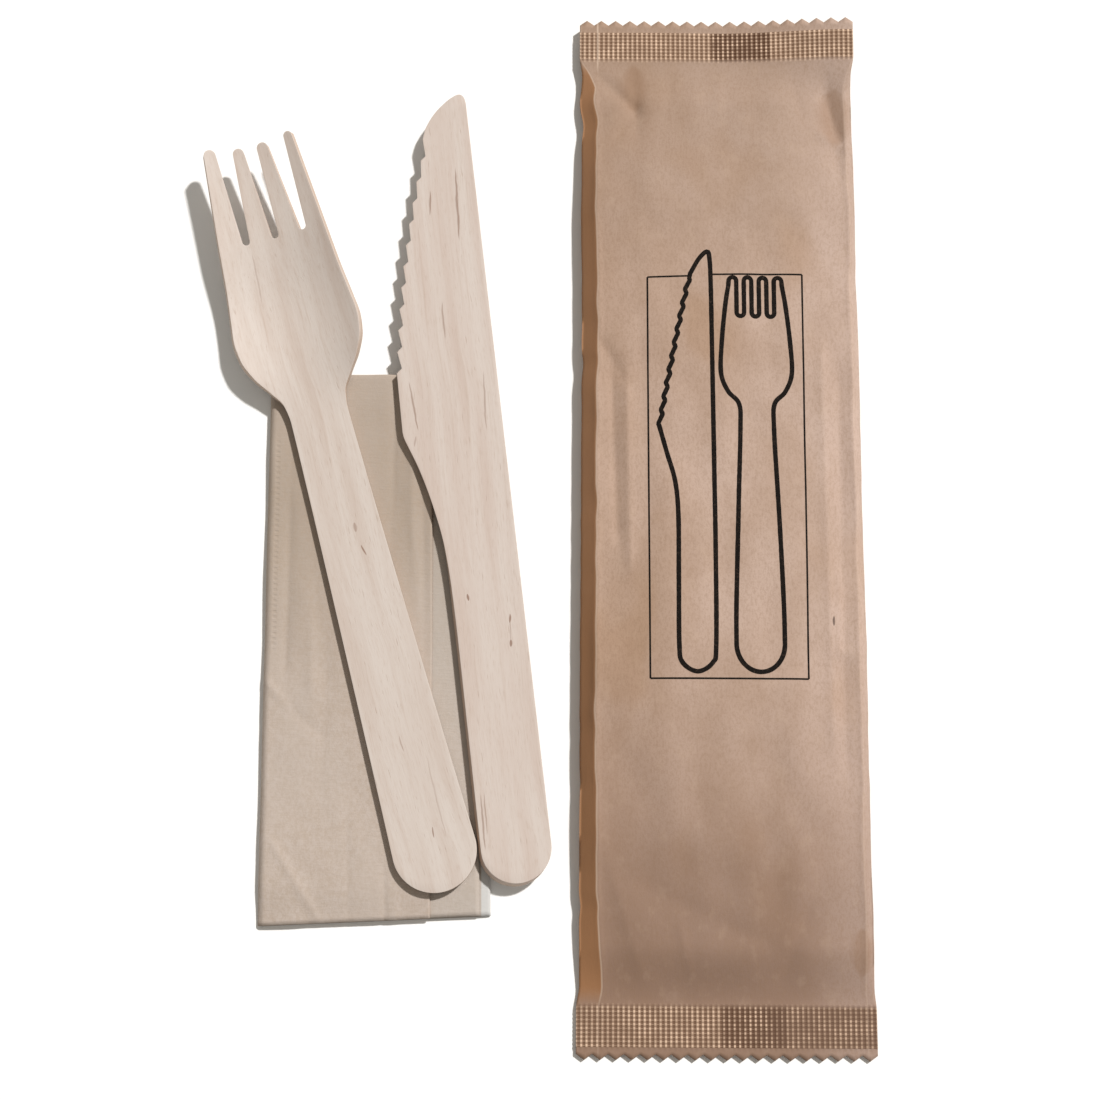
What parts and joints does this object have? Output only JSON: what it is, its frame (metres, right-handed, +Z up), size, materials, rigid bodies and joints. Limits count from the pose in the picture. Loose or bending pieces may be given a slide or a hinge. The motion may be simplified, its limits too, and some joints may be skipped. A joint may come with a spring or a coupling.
{
  "type": "wooden cutlery pack",
  "caption": "wooden fork and serrated knife lying on a folded tissue napkin, beside the same set sealed in a kraft paper flow wrap with embossed, toothed end seals",
  "frame": {"origin": "centre of the whole layout's footprint, on the surface it lies on", "axes": "+X to the right, from the loose set to the sealed wrap; +Y away along the set's long side, towards the tines and the knife's tip; +Z up"},
  "size_m": [0.1364, 0.2156, 0.0089],
  "materials": {
    "birch": "bare sanded veneer",
    "tissue": "matt embossed tissue",
    "kraft_paper": "matt uncoated"
  },
  "bodies": {
    "root": {"wooden_fork": "birch", "wooden_knife": "birch", "paper_napkin": "tissue", "sealed_wrap": "kraft_paper"}
  },
  "joints": []
}
